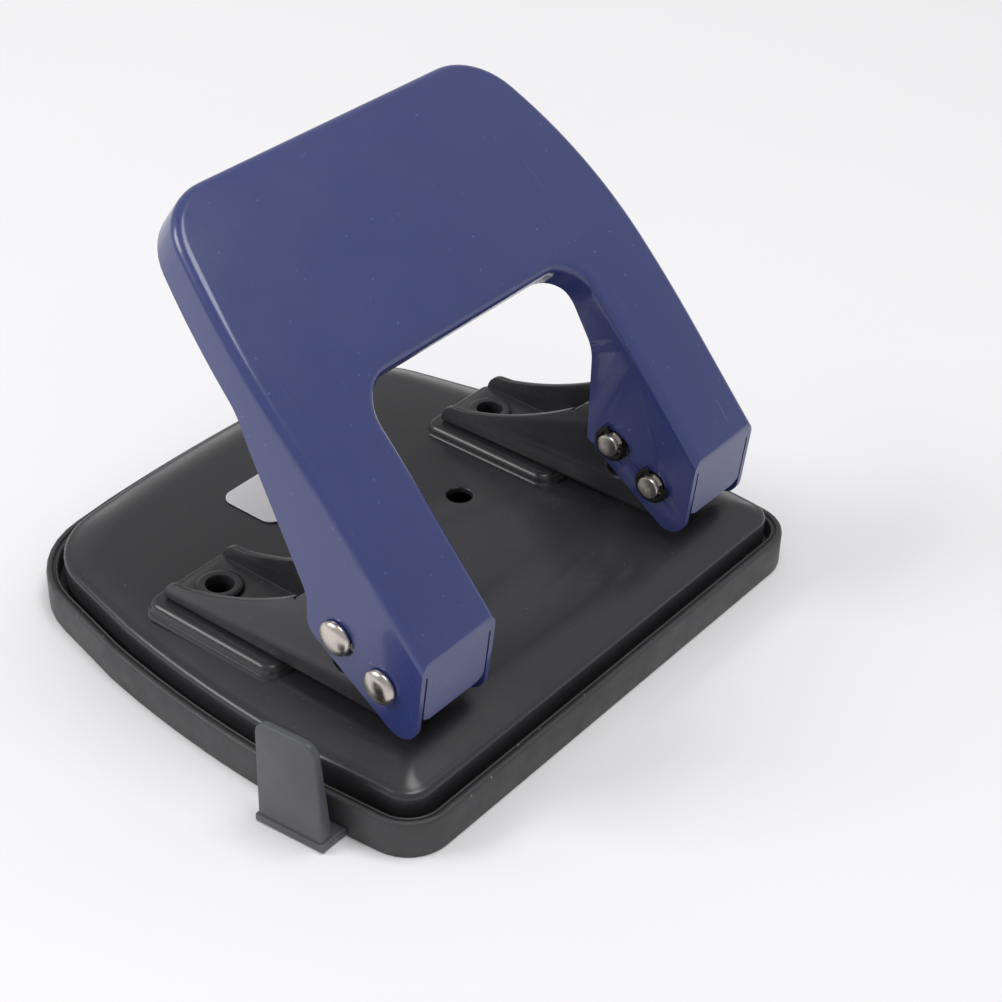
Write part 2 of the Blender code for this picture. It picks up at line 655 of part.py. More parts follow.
def spring(name, middle, material):
    """Compression coil around the punch, from the bracket's floor to the punch's shoulder."""
    coil_radius = PUNCH_RADIUS + SPRING_CLEARANCE + SPRING_WIRE / 2
    low = BRACKET_BOTTOM + BRACKET_SHEET + GAP + SPRING_WIRE / 2
    high = DRIVE_Z - PUNCH_SHOULDER_DROP - GAP - SPRING_WIRE / 2
    steps, sides = 14, 6
    loops = []
    for k in range(int(SPRING_TURNS * steps) + 1):
        turn = 2 * math.pi * k / steps
        z = low + (high - low) * k / (SPRING_TURNS * steps)
        loop = []
        for j in range(sides):
            around = 2 * math.pi * j / sides
            reach = coil_radius + SPRING_WIRE / 2 * math.cos(around)
            loop.append((middle + reach * math.cos(turn), PUNCH_Y + reach * math.sin(turn),
                         z + SPRING_WIRE / 2 * math.sin(around)))
        loops.append(loop)
    return finish(make_object(name, loft(loops)), material)


# ---------------------------------------------------------------- label and paper gauge
def label(material):
    half, deep, radius = LABEL_HALF_LENGTH, LABEL_HALF_WIDTH, 3 * MM
    outline = rounded([(-half, LABEL_Y - deep, radius), (half, LABEL_Y - deep, radius),
                       (half, LABEL_Y + deep, radius), (-half, LABEL_Y + deep, radius)])
    low = PLATE_TOP + GAP / 2
    return finish(prism("label", outline, "Z", low, low + LABEL_THICKNESS), material)


def paper_gauge(material):
    """Flat bar that slides below the tray, with an upright stop for the paper's side on its end."""
    front, back = gauge_span(0)
    inner = -(half_width(GAUGE_Y, 0) + GAUGE_TAB_GAP)
    outer = inner - GAUGE_TAB_THICKNESS
    bar_top = GAUGE_LIFT + GAUGE_BAR_THICKNESS
    bar_ends = (outer - GAUGE_FOOT, outer + GAUGE_BAR_LENGTH)
    bar = box("paper_gauge", bar_ends, (front, back), (GAUGE_LIFT, bar_top))
    low = GAUGE_LIFT + GAUGE_FOOT
    outline = [(front + GAUGE_FOOT, low), (back - GAUGE_FOOT, low)]
    outline += [(back - GAUGE_FOOT, GAUGE_TAB_HEIGHT, 2.5 * MM)]
    outline += [(front + GAUGE_FOOT + GAUGE_TAB_TAPER, GAUGE_TAB_HEIGHT, 2.5 * MM)]
    past = GAUGE_TAB_HEIGHT + GAP
    side = [(outer, 0), (inner, 0), (outer + GAUGE_TAB_TOP, past), (outer, past)]
    tab = prism("tab", rounded(outline), "X", outer - GAP, inner + GAP)
    add(bar, boolean(tab, "INTERSECT", prism("side", side, "Y", -ALL, ALL)))
    return finish(bar, material)


# ---------------------------------------------------------------- the whole punch
def build():
    for item in list(bpy.data.objects):
        bpy.data.objects.remove(item)
    blue = make_material("blue_paint", (0.06, 0.075, 0.2), 0.35)
    dark = make_material("dark_grey_paint", (0.07, 0.07, 0.075), 0.45)
    plastic = make_material("black_plastic", (0.05, 0.05, 0.055), 0.5)
    grey = make_material("grey_plastic", (0.11, 0.115, 0.12), 0.5)
    nickel = make_material("nickel", (0.72, 0.66, 0.6), 0.25, 1)
    black = make_material("black_steel", (0.03, 0.025, 0.025), 0.4, 1)
    steel = make_material("steel", (0.5, 0.5, 0.5), 0.3, 1)
    paper = make_material("white_label", (0.8, 0.8, 0.8), 0.6)

    chip_tray(plastic)
    base_plate(dark)
    label(paper)
    paper_gauge(grey)
    handle(blue)
    for side, hand in ((-1, "left"), (1, "right")):
        middle = side * HALF_SPACING
        on_drive = (middle, PUNCH_Y, DRIVE_Z)
        bracket("bracket_" + hand, middle, dark)
        die("die_" + hand, middle, steel)
        eyelet("rear_eyelet_" + hand, middle, EYELET_REAR_Y, dark)
        eyelet("front_eyelet_" + hand, middle, EYELET_FRONT_Y, dark)
        cross_pin("pivot_pin_" + hand, side, PIVOT_Y, PIVOT_Z, nickel)
        clip("pivot_clip_" + hand, side, PIVOT_Y, PIVOT_Z, black)
        cross_pin("drive_pin_" + hand, side, PUNCH_Y, DRIVE_Z, nickel, on_drive)
        clip("drive_clip_" + hand, side, PUNCH_Y, DRIVE_Z, black, on_drive)
        punch("punch_" + hand, middle, steel, on_drive)
        spring("spring_" + hand, middle, steel)


build()
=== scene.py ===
"""A two-hole desk punch with a blue steel handle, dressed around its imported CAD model.

Metres, +Z up. Paper enters from -Y, X runs along the row of holes, and the paper gauge's tab is on -X.
"""
import math

import bmesh
import bpy
from mathutils import Matrix, Vector


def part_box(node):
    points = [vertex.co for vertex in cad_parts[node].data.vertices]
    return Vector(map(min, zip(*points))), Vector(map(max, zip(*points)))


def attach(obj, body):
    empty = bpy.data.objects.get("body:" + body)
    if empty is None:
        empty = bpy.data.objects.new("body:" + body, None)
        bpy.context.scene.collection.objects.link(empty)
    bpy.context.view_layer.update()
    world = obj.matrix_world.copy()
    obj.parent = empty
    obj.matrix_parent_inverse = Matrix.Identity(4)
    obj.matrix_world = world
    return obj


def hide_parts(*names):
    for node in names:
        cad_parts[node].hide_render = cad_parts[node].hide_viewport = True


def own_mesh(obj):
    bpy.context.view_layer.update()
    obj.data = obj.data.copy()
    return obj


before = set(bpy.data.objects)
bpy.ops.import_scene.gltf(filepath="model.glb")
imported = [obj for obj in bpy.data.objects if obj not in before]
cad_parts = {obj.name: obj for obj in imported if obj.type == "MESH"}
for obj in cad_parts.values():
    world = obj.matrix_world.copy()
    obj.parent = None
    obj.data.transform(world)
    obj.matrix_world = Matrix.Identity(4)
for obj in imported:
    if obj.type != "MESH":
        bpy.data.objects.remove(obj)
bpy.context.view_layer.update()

MM = 0.001
SIDES = (("left", -1), ("right", 1))

# ---------------------------------------------------------------- chip tray
# The tray the paper chips fall into: one injection moulding in black polypropylene, open on top.
# Its rim has a rounded outer lip and a thin inner rib, and the steel plate drops in behind the rib.
tray_low, tray_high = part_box("chip_tray")
TRAY_HEIGHT = tray_high.z
SIDE_WIDEST_Y = -8 * MM
SIDE_BULGE_RADIUS = 250 * MM
BACK_BULGE_RADIUS = 400 * MM
FRONT_CORNER_RADIUS = 9 * MM
BACK_CORNER_RADIUS = 22 * MM
SMALLEST_CORNER = 2 * MM
TRAY_LEDGE_TOP = 3.7 * MM
TRAY_FLOOR = 1.4 * MM
TRAY_WELL = 4.6 * MM


def rounded(corners, steps=8):
    """Closed outline through (u, v) or (u, v, radius) corners, each radius replaced by an arc."""
    points = []
    for i, corner in enumerate(corners):
        here = Vector(corner[:2])
        radius = corner[2] if len(corner) > 2 else 0
        if radius == 0:
            points.append(tuple(here))
            continue
        back = (Vector(corners[i - 1][:2]) - here).normalized()
        ahead = (Vector(corners[(i + 1) % len(corners)][:2]) - here).normalized()
        half = back.angle(ahead) / 2
        centre = here + (back + ahead).normalized() * (radius / math.sin(half))
        start = here + back * (radius / math.tan(half)) - centre
        end = here + ahead * (radius / math.tan(half)) - centre
        sweep = start.angle_signed(end)
        first = math.atan2(start.y, start.x)
        for k in range(steps + 1):
            turn = first - sweep * k / steps
            points.append((centre.x + radius * math.cos(turn), centre.y + radius * math.sin(turn)))
    return points


def half_width(y, distance):
    return tray_high.x - distance - (y - SIDE_WIDEST_Y) ** 2 / (2 * SIDE_BULGE_RADIUS)


def back_edge(x, distance):
    return tray_high.y - distance - x ** 2 / (2 * BACK_BULGE_RADIUS)


def base_outline(distance):
    """Plan of the tray's outside moved inwards, anticlockwise from the front left corner."""
    front = tray_low.y + distance
    back = back_edge(0, distance)
    for _ in range(6):
        back = back_edge(half_width(back, distance), distance)
    side = []
    for k in range(1, 14):
        y = front + (back - front) * (0.14 + 0.6 * k / 14)
        side.append((half_width(y, distance), y))
    rear = []
    for k in range(-5, 6):
        x = -k * half_width(back, distance) * 0.1
        rear.append((x, back_edge(x, distance)))
    front_radius = max(FRONT_CORNER_RADIUS - distance, SMALLEST_CORNER)
    back_radius = max(BACK_CORNER_RADIUS - distance, SMALLEST_CORNER)
    front_x, back_x = half_width(front, distance), half_width(back, distance)
    corners = [(-front_x, front, front_radius), (front_x, front, front_radius)]
    corners += side + [(back_x, back, back_radius)]
    corners += rear + [(-back_x, back, back_radius)]
    corners += [(-x, y) for x, y in reversed(side)]
    return rounded(corners)


def flat(outline, z):
    return [(x, y, z) for x, y in outline]


def on_side(outline, x):
    """Outline given as (y, z), standing at one x."""
    return [(x, y, z) for y, z in outline]


def draw(name, points):
    """A flat face drawn corner by corner, left selected in edit mode."""
    bpy.ops.object.select_all(action="DESELECT")
    bpy.ops.mesh.primitive_plane_add(size=MM)
    piece = bpy.context.object
    piece.name = name
    bpy.ops.object.mode_set(mode="EDIT")
    bpy.ops.mesh.select_mode(type="VERT")
    bpy.ops.mesh.select_all(action="SELECT")
    bpy.ops.mesh.merge(type="CENTER")
    bpy.ops.transform.translate(value=points[0])
    for before, after in zip(points, points[1:]):
        step = Vector(after) - Vector(before)
        bpy.ops.mesh.extrude_vertices_move(TRANSFORM_OT_translate={"value": step})
    bpy.ops.mesh.select_all(action="SELECT")
    bpy.ops.mesh.edge_face_add()
    return piece


def extrude_to(piece, old, new):
    """Extrudes the selected cap and lays its corners on the next outline."""
    bpy.ops.mesh.extrude_region_move()
    cap = [v for v in bmesh.from_edit_mesh(piece.data).verts if v.select]
    for here, there in zip(old, new):
        corner = min(cap, key=lambda v: (v.co - Vector(here)).length_squared)
        corner.co = there
        cap.remove(corner)
    bmesh.update_edit_mesh(piece.data)


def lofted(name, rings):
    """Closed solid through outlines of equally many corners."""
    piece = draw(name, rings[0])
    for old, new in zip(rings, rings[1:]):
        extrude_to(piece, old, new)
    return recalculated(piece)


def pushed(name, points, step):
    """Flat outline pushed along a step into a solid."""
    piece = draw(name, points)
    bpy.ops.mesh.extrude_region_move(TRANSFORM_OT_translate={"value": step})
    return recalculated(piece)


def recalculated(piece):
    """Closes edit mode with doubles merged and all faces outwards."""
    if piece.mode != "EDIT":
        open_piece(piece)
    bpy.ops.mesh.select_all(action="SELECT")
    bpy.ops.mesh.remove_doubles(threshold=0.001 * MM)
    bpy.ops.mesh.normals_make_consistent(inside=False)
    bpy.ops.object.mode_set(mode="OBJECT")
    return piece


def open_piece(piece):
    """Opens a piece in edit mode with nothing selected."""
    bpy.ops.object.select_all(action="DESELECT")
    piece.select_set(True)
    bpy.context.view_layer.objects.active = piece
    bpy.ops.object.mode_set(mode="EDIT")
    bpy.ops.mesh.select_all(action="DESELECT")


def select_edges(piece, wanted):
    """Selects the edges whose two ends pass a test on their place."""
    bpy.ops.mesh.select_mode(type="EDGE")
    mesh = bmesh.from_edit_mesh(piece.data)
    for edge in mesh.edges:
        edge.select = wanted(edge.verts[0].co, edge.verts[1].co)
    bmesh.update_edit_mesh(piece.data)


def round_chosen(piece, wanted, width, segments=4):
    """Rounds the edges that pass a test on their two ends."""
    open_piece(piece)
    select_edges(piece, wanted)
    bpy.ops.mesh.bevel(offset=width, segments=segments, profile=0.5, affect="EDGES")
    bpy.ops.object.mode_set(mode="OBJECT")


def block(low, high):
    """A plain block between two corners, used to cut or to fill."""
    bpy.ops.object.select_all(action="DESELECT")
    low, high = Vector(low), Vector(high)
    bpy.ops.mesh.primitive_cube_add(size=1, location=(low + high) / 2, scale=high - low)
    return bpy.context.object


def drill(radius, axis, centre, length):
    """A plain rod along an axis, used to cut a round hole."""
    turn = {"X": (0, math.pi / 2, 0), "Y": (math.pi / 2, 0, 0), "Z": (0, 0, 0)}[axis]
    bpy.ops.object.select_all(action="DESELECT")
    bpy.ops.mesh.primitive_cylinder_add(vertices=48, radius=radius, depth=length,
                                        location=centre, rotation=turn)
    return bpy.context.object


def combine(piece, operation, tool):
    modifier = piece.modifiers.new(operation.title(), "BOOLEAN")
    modifier.operation = operation
    modifier.object = tool
    bpy.context.view_layer.objects.active = piece
    bpy.ops.object.modifier_apply(modifier=modifier.name)
    bpy.data.objects.remove(tool)


def soften(piece, width, segments=2, angle=40):
    """Rounds every crease sharper than an angle, as paint or a mould does."""
    modifier = piece.modifiers.new("Soften", "BEVEL")
    modifier.width = width
    modifier.segments = segments
    modifier.limit_method = "ANGLE"
    modifier.angle_limit = math.radians(angle)
    bpy.context.view_layer.objects.active = piece
    bpy.ops.object.modifier_apply(modifier=modifier.name)


def fit_to(piece, material, body, nodes, angle=38):
    """Shades a finished piece, gives it its material and its body, and hides the CAD nodes it stands for."""
    bpy.ops.object.select_all(action="DESELECT")
    piece.select_set(True)
    bpy.context.view_layer.objects.active = piece
    bpy.ops.object.shade_smooth_by_angle(angle=math.radians(angle))
    piece.data.materials.clear()
    piece.data.materials.append(material)
    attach(piece, body)
    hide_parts(*nodes)


class Finish:
    """A Principled material whose colour, roughness and bump are built up from patterns."""

    def __init__(self, name, colour, roughness, metallic=0.0):
        self.material = bpy.data.materials.new(name)
        self.material.use_nodes = True
        self.nodes = self.material.node_tree.nodes
        self.links = self.material.node_tree.links
        self.shader = self.nodes["Principled BSDF"]
        self.shader.inputs["Base Color"].default_value = (*colour, 1)
        self.shader.inputs["Roughness"].default_value = roughness
        self.shader.inputs["Metallic"].default_value = metallic
        self.place = self.nodes.new("ShaderNodeTexCoord").outputs["Object"]
        self.colour = None
        self.bump = None

    def noise(self, scale, detail=3, stretch=(1, 1, 1), distortion=0.0):
        mapping = self.nodes.new("ShaderNodeMapping")
        mapping.inputs["Scale"].default_value = stretch
        self.links.new(self.place, mapping.inputs["Vector"])
        noise = self.nodes.new("ShaderNodeTexNoise")
        noise.inputs["Scale"].default_value = scale
        noise.inputs["Detail"].default_value = detail
        noise.inputs["Distortion"].default_value = distortion
        self.links.new(mapping.outputs["Vector"], noise.inputs["Vector"])
        return noise.outputs["Fac"]

    def between(self, value, low, high, to_low=0.0, to_high=1.0):
        """Part of a pattern stretched to a new range and clipped there."""
        node = self.nodes.new("ShaderNodeMapRange")
        node.inputs["From Min"].default_value = low
        node.inputs["From Max"].default_value = high
        node.inputs["To Min"].default_value = to_low
        node.inputs["To Max"].default_value = to_high
        self.links.new(value, node.inputs["Value"])
        return node.outputs["Result"]

    def times(self, a, b):
        node = self.nodes.new("ShaderNodeMath")
        node.operation = "MULTIPLY"
        self.links.new(a, node.inputs[0])
        self.links.new(b, node.inputs[1])
        return node.outputs["Value"]

    def height(self):
        split = self.nodes.new("ShaderNodeSeparateXYZ")
        self.links.new(self.place, split.inputs["Vector"])
        return split.outputs["Z"]

    def tint(self, colour, amount):
        """Lays a second colour over the first where a pattern is high."""
        mix = self.nodes.new("ShaderNodeMix")
        mix.data_type = "RGBA"
        under, over, result = mix.inputs[6], mix.inputs[7], mix.outputs[2]
        if self.colour is None:
            under.default_value = self.shader.inputs["Base Color"].default_value
        else:
            self.links.new(self.colour, under)
        over.default_value = (*colour, 1)
        self.links.new(amount, mix.inputs[0])
        self.colour = result
        self.links.new(self.colour, self.shader.inputs["Base Color"])

    def gloss(self, value):
        self.links.new(value, self.shader.inputs["Roughness"])

    def relief(self, value, depth, strength=1.0):
        """Raises the surface by a pattern, on top of any relief laid before."""
        bump = self.nodes.new("ShaderNodeBump")
        bump.inputs["Distance"].default_value = depth
        bump.inputs["Strength"].default_value = strength
        self.links.new(value, bump.inputs["Height"])
        if self.bump is not None:
            self.links.new(self.bump, bump.inputs["Normal"])
        self.bump = bump.outputs["Normal"]
        self.links.new(self.bump, self.shader.inputs["Normal"])


moulding = Finish("black_polypropylene", (0.034, 0.0335, 0.036), 0.44)
moulding.tint((0.06, 0.0595, 0.063), moulding.between(moulding.noise(60, 4), 0.35, 0.75, 0, 0.5))
near_rim = moulding.between(moulding.height(), TRAY_HEIGHT - 1.2 * MM, TRAY_HEIGHT - 0.5 * MM)
rim_scuffs = moulding.times(moulding.between(moulding.noise(900, 2), 0.7, 0.76), near_rim)
moulding.tint((0.22, 0.215, 0.21), rim_scuffs)
moulding.gloss(moulding.between(moulding.noise(220, 3), 0.3, 0.7, 0.42, 0.58))
moulding.relief(moulding.noise(2600, 2), 0.03 * MM, 0.35)

TRAY_SECTION = [(0.5, 0), (0.12, 0.12), (0, 0.5), (0, 7.0), (0.1, 7.4), (0.35, 7.7), (0.75, 7.8), (1.1, 7.75),
                (1.3, 7.55), (1.38, 7.2), (1.75, 7.05), (1.85, 7.35), (2.05, 7.45), (2.25, 7.35), (2.35, 7.0)]
rim = [flat(base_outline(distance * MM), z * MM) for distance, z in TRAY_SECTION]
rim += [flat(base_outline(2.35 * MM), TRAY_LEDGE_TOP), flat(base_outline(TRAY_WELL), TRAY_LEDGE_TOP)]
rim += [flat(base_outline(TRAY_WELL + 0.3 * MM), TRAY_FLOOR + 0.8 * MM)]
rim += [flat(base_outline(TRAY_WELL + 1.1 * MM), TRAY_FLOOR)]
tray = lofted("tray_moulding", rim)

gauge_low, gauge_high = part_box("paper_gauge")
SLIDE_PLAY = 0.3 * MM
bar_top = gauge_low.z + 1.6 * MM
duct_front, duct_back = gauge_low.y - SLIDE_PLAY, gauge_high.y + SLIDE_PLAY
duct_reach = tray_high.x - 3.5 * MM
combine(tray, "UNION", block((-duct_reach, duct_front - TRAY_FLOOR, 0.5 * TRAY_FLOOR),
                             (duct_reach, duct_back + TRAY_FLOOR, bar_top + SLIDE_PLAY + TRAY_FLOOR)))
combine(tray, "DIFFERENCE", block((-80 * MM, duct_front, -TRAY_FLOOR),
                                  (duct_reach - 2 * MM, duct_back, bar_top + SLIDE_PLAY)))
fit_to(tray, moulding.material, "tray", ["chip_tray"])

# ---------------------------------------------------------------- base plate
# The plate that carries both punch units: one pressing in sheet steel, sprayed satin dark grey.
# Its edge is rolled down into the tray, and two seats are embossed on it for the brackets.
plate_low, plate_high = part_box("base_plate")
THROAT = 2.2 * MM
PLATE_TOP = plate_high.z - THROAT
PLATE_SHEET = 1.2 * MM
PLATE_EDGE_TOP = 11.2 * MM
PLATE_EDGE = plate_low.x - tray_low.x
EDGE_ROLL = 1.3 * MM
SHOULDER_WIDTH = 9 * MM
SEAT_TOP = plate_high.z
SEAT_HALF_WIDTH = 11 * MM
SEAT_LENGTH = 32.5 * MM
SEAT_ROUND = 1.4 * MM
SEAT_FLARE = 0.4 * MM
unit_x = (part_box("bracket_right")[0].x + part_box("bracket_right")[1].x) / 2
punch_y = (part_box("die_right")[0].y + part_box("die_right")[1].y) / 2
HOLE_RADIUS = 3.15 * MM
FIXING_HOLE = Vector((16, 11.7, 0)) * MM
FIXING_HOLE_RADIUS = 2.6 * MM
EYELET_PLACES = {"rear": 23.4 * MM, "front": 7.5 * MM}
EYELET_HOLE_RADIUS = 3.4 * MM


def sprayed(name, colour, light, roughness):
    """Baked spray paint: faint orange peel, slow changes of tone and a few specks of dust under it."""
    paint = Finish(name, colour, roughness)
    paint.tint(light, paint.between(paint.noise(28, 3), 0.35, 0.75, 0, 0.35))
    paint.tint([3.2 * c for c in light], paint.between(paint.noise(1000, 1), 0.765, 0.79, 0, 0.5))
    paint.gloss(paint.between(paint.noise(90, 3), 0.3, 0.7, roughness - 0.04, roughness + 0.05))
    paint.relief(paint.noise(480, 2), 0.05 * MM, 0.3)
    paint.relief(paint.noise(45, 1), 0.4 * MM, 0.05)
    return paint


grey_paint = sprayed("dark_grey_paint", (0.028, 0.028, 0.031), (0.037, 0.0365, 0.041), 0.29)


def plate_section():
    """(distance in from the tray's outside, height) from the skirt's foot up to the flat top."""
    section = [(PLATE_EDGE, plate_low.z)]
    for k in range(6):
        turn = math.pi / 2 * k / 5
        distance = PLATE_EDGE + EDGE_ROLL * (1 - math.cos(turn))
        section.append((distance, PLATE_EDGE_TOP - EDGE_ROLL * (1 - math.sin(turn))))
    for k in range(1, 11):
        rise = (PLATE_TOP - PLATE_EDGE_TOP) * math.sin(math.pi / 2 * k / 10)
        section.append((PLATE_EDGE + EDGE_ROLL + SHOULDER_WIDTH * k / 10, PLATE_EDGE_TOP + rise))
    return section


def seat(middle, grow, top, foot, flare=0):
    """Embossed seat with a soft foot; grow moves its sides, for the metal or for the hollow under it."""
    def ring(distance, z):
        x = SEAT_HALF_WIDTH + grow - distance
        front, back = -grow + distance, SEAT_LENGTH + grow - distance
        radius = 3 * MM + (grow - distance) / 2
        corners = [(-x, front, radius), (x, front, radius), (x, back, radius), (-x, back, radius)]
        return flat([(middle + u, v) for u, v in rounded(corners)], z)
    rings = [ring(-1.5 * flare, foot), ring(-flare, top - THROAT + 0.05 * MM)]
    rings += [ring(-0.55 * flare, top - THROAT + 0.2 * MM), ring(-0.2 * flare, top - THROAT + 0.45 * MM)]
    for k in range(7):
        turn = math.pi / 2 * k / 6
        rings.append(ring(SEAT_ROUND * (1 - math.cos(turn)), top - SEAT_ROUND * (1 - math.sin(turn))))
    return lofted("seat", rings)


section = plate_section()
under = [(distance + PLATE_SHEET * (k < 7), z - PLATE_SHEET) for k, (distance, z) in enumerate(section)][1:]
rings = [flat(base_outline(distance), z) for distance, z in reversed(under)]
rings += [flat(base_outline(PLATE_EDGE + PLATE_SHEET), plate_low.z)]
rings += [flat(base_outline(distance), z) for distance, z in section]
plate = lofted("plate_pressing", rings)
for _, side in SIDES:
    middle = side * unit_x
    combine(plate, "UNION", seat(middle, 0, SEAT_TOP, PLATE_TOP - 0.9 * MM, SEAT_FLARE))
    combine(plate, "DIFFERENCE", seat(middle, -PLATE_SHEET, SEAT_TOP - PLATE_SHEET, PLATE_TOP - 3.4 * MM))
for _, side in SIDES:
    middle = side * unit_x
    holes = [(middle, punch_y, HOLE_RADIUS), (side * FIXING_HOLE.x, FIXING_HOLE.y, FIXING_HOLE_RADIUS)]
    holes += [(middle, y, EYELET_HOLE_RADIUS) for y in EYELET_PLACES.values()]
    for x, y, radius in holes:
        combine(plate, "DIFFERENCE", drill(radius, "Z", (x, y, PLATE_TOP), 20 * MM))


def hole_rim(centre, radius):
    """Test for the edges round the top of one hole in the plate."""
    def on_rim(p):
        return abs((p.xy - Vector(centre)).length - radius) < 0.02 * MM and abs(p.z - PLATE_TOP) < 0.01 * MM
    return lambda a, b: on_rim(a) and on_rim(b)


for hand, side in SIDES:
    round_chosen(plate, hole_rim((side * FIXING_HOLE.x, FIXING_HOLE.y), FIXING_HOLE_RADIUS), 0.4 * MM)
    round_chosen(plate, hole_rim((side * unit_x, punch_y), HOLE_RADIUS), 0.2 * MM)
fit_to(plate, grey_paint.material, "frame", ["base_plate"], 50)

# ---------------------------------------------------------------- label
# A blank white vinyl sticker with rounded corners, pressed on the plate under the grip.
label_low, label_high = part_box("label")
LABEL_CORNER = 3 * MM
label_corners = [(label_low.x, label_low.y, LABEL_CORNER), (label_high.x, label_low.y, LABEL_CORNER),
                 (label_high.x, label_high.y, LABEL_CORNER), (label_low.x, label_high.y, LABEL_CORNER)]
label_rise = (0, 0, label_high.z - label_low.z)
sticker = pushed("label_sticker", flat(rounded(label_corners), label_low.z), label_rise)
soften(sticker, 0.12 * MM, 3)
vinyl = Finish("white_vinyl", (0.68, 0.665, 0.68), 0.4)
vinyl.tint((0.6, 0.59, 0.6), vinyl.between(vinyl.noise(120, 4), 0.4, 0.8, 0, 0.5))
vinyl.gloss(vinyl.between(vinyl.noise(300, 2), 0.3, 0.7, 0.34, 0.46))
vinyl.relief(vinyl.noise(140, 2), 0.2 * MM, 0.15)
fit_to(sticker, vinyl.material, "frame", ["label"])

# ---------------------------------------------------------------- brackets
# Two folded channels in 1.2 mm steel that carry the punches and the handle, painted with the plate.
# The floor and both walls are one blank bent up twice; the walls fall away towards the back.
BRACKET_SHEET = 1.2 * MM
BRACKET_BEND = 1.7 * MM
pivot_low, pivot_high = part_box("pivot_pin_right")
drive_low, drive_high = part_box("drive_pin_right")
PIVOT = Vector(((pivot_low.y + pivot_high.y) / 2, (pivot_low.z + pivot_high.z) / 2))
DRIVE = Vector(((drive_low.y + drive_high.y) / 2, (drive_low.z + drive_high.z) / 2))
PIN_HOLE = 2.6 * MM
NOSE_RADIUS = 5.4 * MM
STROKE = 6.4 * MM
TIP_RADIUS = 3.8 * MM


def bracket_side(low, high):
    """(y, z) outline of a bracket's wall between its corners of the CAD box."""
    kink = Vector((punch_y + 11.6 * MM, low.z + 16.9 * MM))
    tip = Vector((high.y - TIP_RADIUS, low.z + 4.4 * MM))
    corners = [(low.y + 2 * MM, low.z), (high.y, low.z), (high.y, tip.y, TIP_RADIUS)]
    for k in range(13, 0, -1):
        share = k / 14
        point = kink.lerp(tip, share)
        corners.append((point.x, point.y - 6.4 * MM * share * (1 - share)))
    corners += [tuple(kink), (kink.x - 0.5 * MM, kink.y - 0.35 * MM), (kink.x - 1 * MM, kink.y + 0.5 * MM)]
    corners += [(kink.x - 4 * MM, high.z, 4 * MM), (punch_y - 4.5 * MM, high.z, 4 * MM)]
    corners += [(low.y, PIVOT.y + NOSE_RADIUS, NOSE_RADIUS - SLIDE_PLAY), (low.y, PIVOT.y - 4 * MM)]
    return rounded(corners)


def round_ended_slot(start, end, radius, steps=14):
    """Outline of a slot between two (y, z) centres."""
    start, end = Vector(start), Vector(end)
    first = math.atan2(end.y - start.y, end.x - start.x)
    points = []
    for centre, turn in ((end, first - math.pi / 2), (start, first + math.pi / 2)):
        for k in range(steps + 1):
            angle = turn + math.pi * k / steps
            points.append((centre.x + radius * math.cos(angle), centre.y + radius * math.sin(angle)))
    return points


for hand, side in SIDES:
    low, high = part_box("bracket_" + hand)
    width = high.x - low.x
    middle = side * unit_x
    channel = pushed("bracket_channel_" + hand, on_side(bracket_side(low, high), low.x), (width, 0, 0))
    round_chosen(channel, lambda a, b: max(a.z, b.z) < low.z + 0.01 * MM and abs(a.x - b.x) < 0.01 * MM,
                 BRACKET_BEND, 6)
    floor = low.z + BRACKET_SHEET
    hollow = block((low.x + BRACKET_SHEET, low.y - 5 * MM, floor),
                   (high.x - BRACKET_SHEET, high.y + 5 * MM, high.z + 5 * MM))
    # The block is still a scaled unit cube here, so these numbers are in its own units.
    round_chosen(hollow, lambda a, b: a.z < -0.4 and b.z < -0.4 and abs(a.x - b.x) < 0.1, 0.02, 3)
    combine(channel, "DIFFERENCE", hollow)
    combine(channel, "DIFFERENCE", drill(PIN_HOLE, "X", (middle, *PIVOT), 40 * MM))
    slot_outline = round_ended_slot((DRIVE.x, DRIVE.y - STROKE), DRIVE, PIN_HOLE)
    combine(channel, "DIFFERENCE", pushed("slot", on_side(slot_outline, middle - 15 * MM), (30 * MM, 0, 0)))
    combine(channel, "DIFFERENCE", drill(HOLE_RADIUS, "Z", (middle, punch_y, floor), 6 * MM))
    for y in EYELET_PLACES.values():
        combine(channel, "DIFFERENCE", drill(EYELET_HOLE_RADIUS, "Z", (middle, y, floor), 6 * MM))
    soften(channel, 0.16 * MM, 2, 50)
    fit_to(channel, grey_paint.material, "frame", ["bracket_" + hand], 45)

# ---------------------------------------------------------------- eyelets, dies and punches
# Hollow rivets clinch each bracket to its seat. The punches are hardened rods with a hollow-ground
# tip, and each drops into a die ring held under the plate.


def turned(name, profile, axis, centre, steps=48):
    """Solid of revolution: profile points are (radius, place along the axis)."""
    centre = Vector(centre)
    along = {"X": Vector((1, 0, 0)), "Z": Vector((0, 0, 1))}[axis]
    across = {"X": Vector((0, 1, 0)), "Z": Vector((1, 0, 0))}[axis]
    origin = centre - along * centre.dot(along)
    piece = draw(name, [origin + along * place + across * radius for radius, place in profile])
    bpy.ops.mesh.delete(type="ONLY_FACE")
    bpy.ops.mesh.select_all(action="SELECT")
    bpy.ops.mesh.spin(steps=steps, angle=2 * math.pi, center=origin, axis=along, dupli=False)
    return recalculated(piece)


